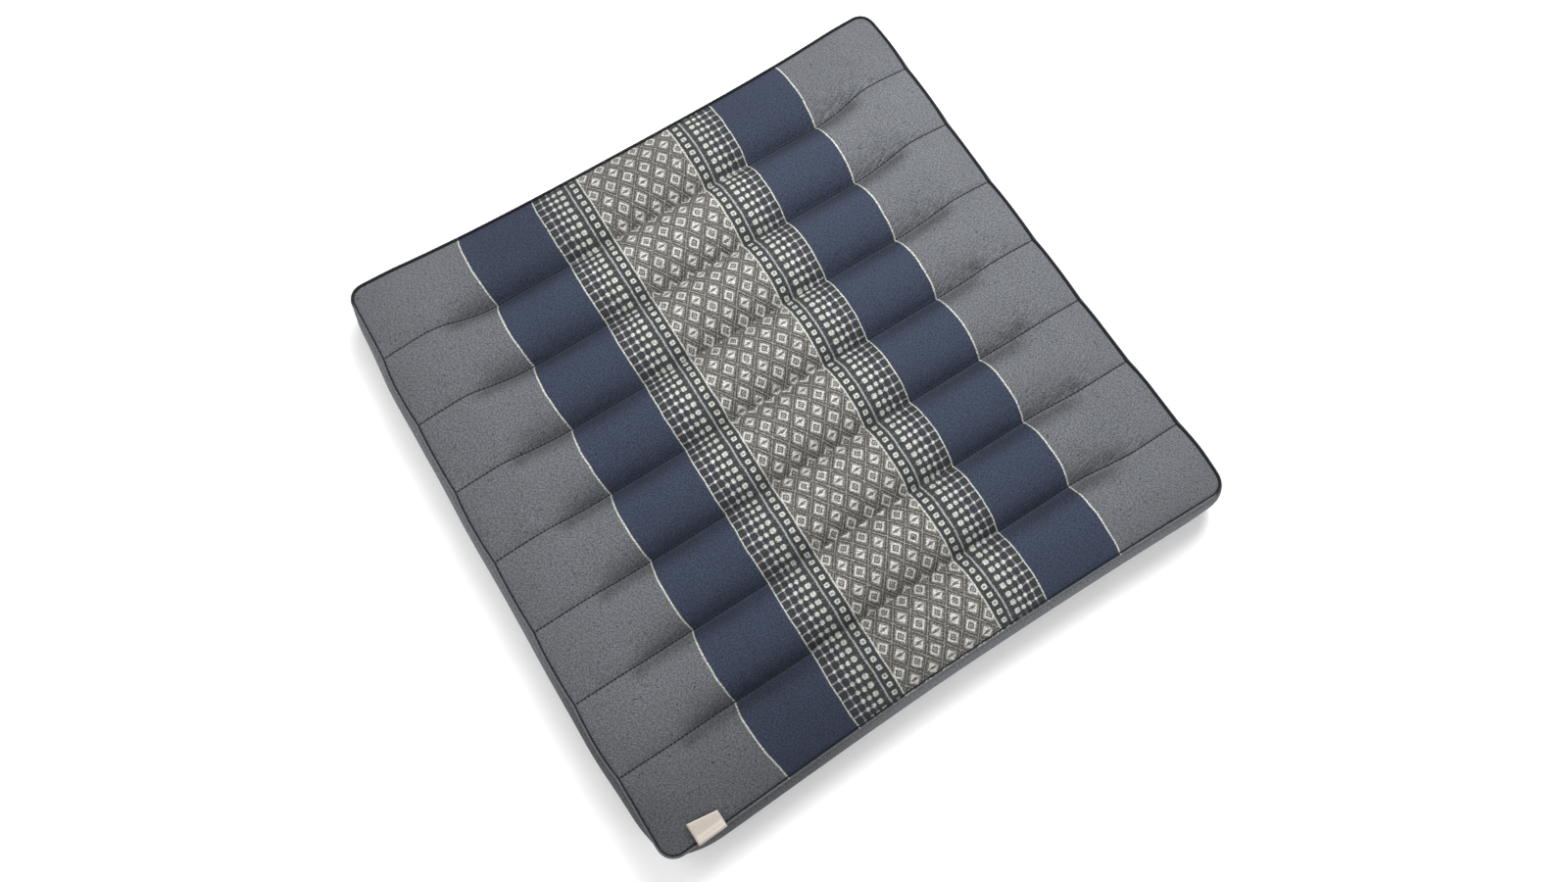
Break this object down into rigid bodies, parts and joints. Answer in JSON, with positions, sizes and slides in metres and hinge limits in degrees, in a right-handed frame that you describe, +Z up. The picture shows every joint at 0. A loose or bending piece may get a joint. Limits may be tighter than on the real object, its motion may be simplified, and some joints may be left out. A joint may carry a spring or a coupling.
{
  "type": "meditation cushion",
  "caption": "Square boxed floor cushion for meditation, quilted into even channels, with a woven striped top, plain sides and a small bare label.",
  "frame": {"origin": "middle of the cushion's footprint, on the surface it rests on", "axes": "+Z up out of the woven top panel, +X along the quilted channels, +Y across the channels and away from the edge with the label"},
  "size_m": [0.5084, 0.5028, 0.05],
  "materials": {
    "cushion_cloth": "matt woven cotton in grey, navy and cream",
    "label_cloth": "smooth off-white ribbon"
  },
  "bodies": {
    "root": {"cushion": "cushion_cloth", "label": "label_cloth"}
  },
  "joints": []
}
